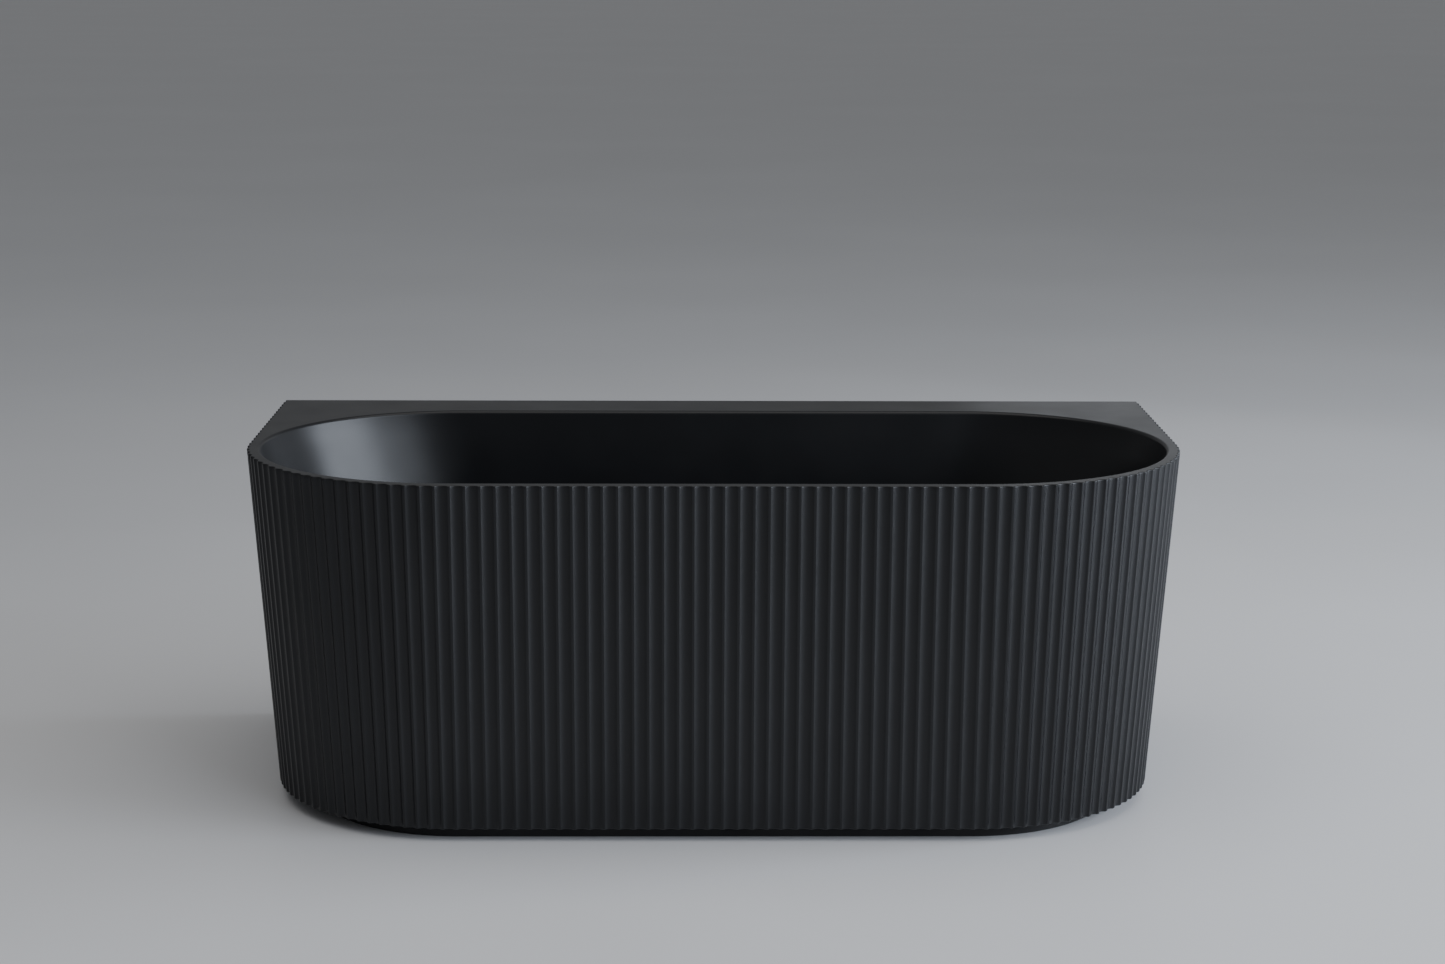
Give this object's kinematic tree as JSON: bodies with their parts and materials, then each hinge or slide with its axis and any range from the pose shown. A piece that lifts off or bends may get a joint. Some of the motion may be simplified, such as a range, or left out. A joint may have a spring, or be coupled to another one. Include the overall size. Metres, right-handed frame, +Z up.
{
  "type": "freestanding bathtub",
  "caption": "Back-to-wall freestanding bathtub, D-shaped in plan, with a vertically fluted skirt, an inner basin, a steel cradle on levelling feet and a push-to-open waste.",
  "frame": {"origin": "on the floor, under the middle of the bath's bounding box", "axes": "+X along the length, +Y towards the wall behind the flat back, +Z up; the fluted front faces -Y"},
  "size_m": [1.5, 0.76, 0.57],
  "materials": {
    "shell_black": "satin black acrylic, smooth, soft broad highlights",
    "plinth_black": "matte black, recessed",
    "particle_board": "raw particle board",
    "zinc_steel": "zinc-plated steel, slightly dull",
    "screw_steel": "bright stainless steel",
    "waste_black": "satin black coated brass",
    "nut_plastic": "moulded black nylon",
    "seal_rubber": "matte black rubber",
    "pad_plastic": "moulded dark plastic"
  },
  "bodies": {
    "tub": {"basin": "shell_black", "fluted_skirt": "shell_black", "rear_panel": "shell_black", "plinth_ring": "plinth_black", "base_board": "particle_board", "deck_batten": "particle_board", "cradle_rail_front": "zinc_steel", "cradle_rail_back": "zinc_steel", "cradle_crossbar_left": "zinc_steel", "cradle_crossbar_mid_left": "zinc_steel", "cradle_crossbar_mid_right": "zinc_steel", "cradle_crossbar_right": "zinc_steel", "foot_locknut_1": "zinc_steel", "foot_locknut_2": "zinc_steel", "foot_locknut_3": "zinc_steel", "foot_locknut_4": "zinc_steel", "foot_locknut_5": "zinc_steel", "foot_locknut_6": "zinc_steel", "waste_flange": "waste_black", "waste_seal_upper": "seal_rubber", "waste_seal_lower": "seal_rubber", "waste_backnut": "nut_plastic", "plug_cartridge": "screw_steel", "skirt_bracket_1": "zinc_steel", "skirt_bracket_2": "zinc_steel", "skirt_bracket_3": "zinc_steel", "skirt_bracket_4": "zinc_steel", "skirt_screw_1": "screw_steel", "skirt_screw_2": "screw_steel", "skirt_screw_3": "screw_steel", "skirt_screw_4": "screw_steel", "cradle_screw_1": "screw_steel", "cradle_screw_2": "screw_steel", "cradle_screw_3": "screw_steel", "cradle_screw_4": "screw_steel", "rear_panel_screw_1": "screw_steel", "rear_panel_screw_2": "screw_steel", "rear_panel_screw_3": "screw_steel", "rear_panel_screw_4": "screw_steel"},
    "plug": {"plug_stem": "screw_steel", "plug_cap": "waste_black", "plug_seal": "seal_rubber"},
    "foot_1": {"foot_pad_1": "pad_plastic", "foot_rod_1": "zinc_steel"},
    "foot_2": {"foot_pad_2": "pad_plastic", "foot_rod_2": "zinc_steel"},
    "foot_3": {"foot_pad_3": "pad_plastic", "foot_rod_3": "zinc_steel"},
    "foot_4": {"foot_pad_4": "pad_plastic", "foot_rod_4": "zinc_steel"},
    "foot_5": {"foot_pad_5": "pad_plastic", "foot_rod_5": "zinc_steel"},
    "foot_6": {"foot_pad_6": "pad_plastic", "foot_rod_6": "zinc_steel"}
  },
  "joints": [
    {"name": "plug_lift", "type": "slide", "parent": "tub", "child": "plug", "axis": [0, 0, 1], "range_m": [0, 0.009]},
    {"name": "foot_1_height", "type": "slide", "parent": "tub", "child": "foot_1", "axis": [0, 0, 1], "range_m": [-0.01, 0.01]},
    {"name": "foot_2_height", "type": "slide", "parent": "tub", "child": "foot_2", "axis": [0, 0, 1], "range_m": [-0.01, 0.01]},
    {"name": "foot_3_height", "type": "slide", "parent": "tub", "child": "foot_3", "axis": [0, 0, 1], "range_m": [-0.01, 0.01]},
    {"name": "foot_4_height", "type": "slide", "parent": "tub", "child": "foot_4", "axis": [0, 0, 1], "range_m": [-0.01, 0.01]},
    {"name": "foot_5_height", "type": "slide", "parent": "tub", "child": "foot_5", "axis": [0, 0, 1], "range_m": [-0.01, 0.01]},
    {"name": "foot_6_height", "type": "slide", "parent": "tub", "child": "foot_6", "axis": [0, 0, 1], "range_m": [-0.01, 0.01]}
  ]
}
